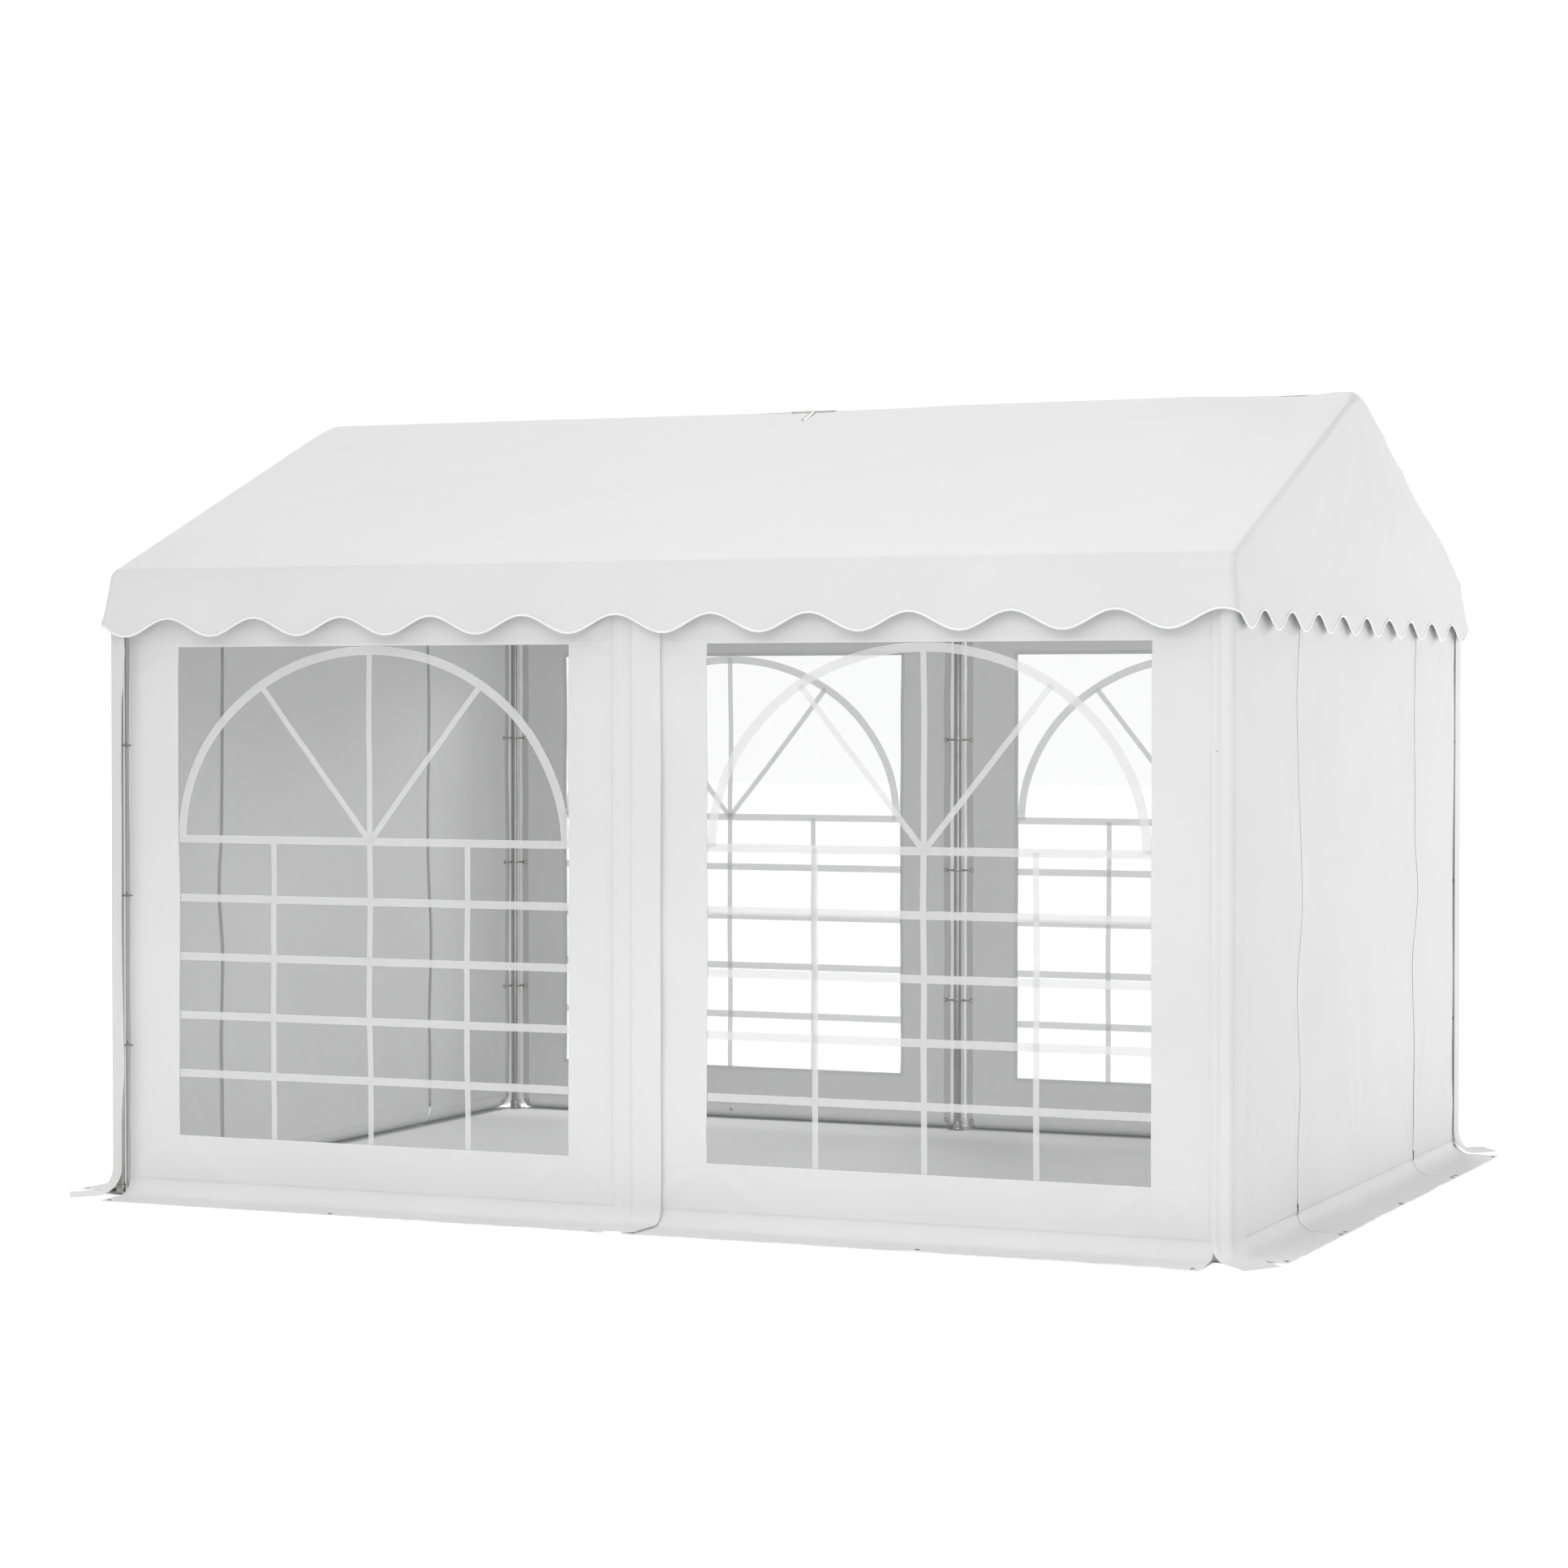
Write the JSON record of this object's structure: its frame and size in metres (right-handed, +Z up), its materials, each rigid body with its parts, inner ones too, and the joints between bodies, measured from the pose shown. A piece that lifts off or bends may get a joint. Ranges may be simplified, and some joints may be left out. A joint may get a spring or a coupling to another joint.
{
  "type": "marquee tent",
  "caption": "Gabled marquee tent on a steel tube frame, with a scalloped cover, arched window walls and closed zip doors in both gables.",
  "frame": {"origin": "middle of the ground outline, on the ground that the feet stand on", "axes": "+X along the ridge to the gable that the picture shows, +Y from the front wall to the back wall, +Z up"},
  "size_m": [4.37, 3.4, 2.7667],
  "materials": {
    "galvanised_tube": "galvanised, dull",
    "connector_steel": "galvanised, dull",
    "white_cover_cloth": "coated cloth, satin",
    "clear_window_film": "clear flexible film, gloss"
  },
  "bodies": {
    "root": {"corner_flap_back_left": "white_cover_cloth", "corner_flap_back_right": "white_cover_cloth", "corner_flap_front_left": "white_cover_cloth", "corner_flap_front_right": "white_cover_cloth", "eave_bar_back_left": "galvanised_tube", "eave_bar_back_right": "galvanised_tube", "eave_bar_front_left": "galvanised_tube", "eave_bar_front_right": "galvanised_tube", "eave_connector_back_left": "connector_steel", "eave_connector_back_middle": "connector_steel", "eave_connector_back_right": "connector_steel", "eave_connector_front_left": "connector_steel", "eave_connector_front_middle": "connector_steel", "eave_connector_front_right": "connector_steel", "gable_bar_left": "galvanised_tube", "gable_bar_right": "galvanised_tube", "gable_left_back_panel": "white_cover_cloth", "gable_left_door_panel": "white_cover_cloth", "gable_left_front_panel": "white_cover_cloth", "gable_right_back_panel": "white_cover_cloth", "gable_right_door_panel": "white_cover_cloth", "gable_right_front_panel": "white_cover_cloth", "leg_back_left": "galvanised_tube", "leg_back_middle": "galvanised_tube", "leg_back_right": "galvanised_tube", "leg_front_left": "galvanised_tube", "leg_front_middle": "galvanised_tube", "leg_front_right": "galvanised_tube", "middle_flap_back": "white_cover_cloth", "middle_flap_front": "white_cover_cloth", "rafter_back_left": "galvanised_tube", "rafter_back_middle": "galvanised_tube", "rafter_back_right": "galvanised_tube", "rafter_front_left": "galvanised_tube", "rafter_front_middle": "galvanised_tube", "rafter_front_right": "galvanised_tube", "ridge_bar_left": "galvanised_tube", "ridge_bar_right": "galvanised_tube", "ridge_connector_left": "connector_steel", "ridge_connector_middle": "connector_steel", "ridge_connector_right": "connector_steel", "roof_cover": "white_cover_cloth", "wall_back_left": "white_cover_cloth", "wall_back_right": "white_cover_cloth", "wall_front_left": "white_cover_cloth", "wall_front_right": "white_cover_cloth", "window_back_left": "clear_window_film", "window_back_right": "clear_window_film", "window_front_left": "clear_window_film", "window_front_right": "clear_window_film"}
  },
  "joints": []
}
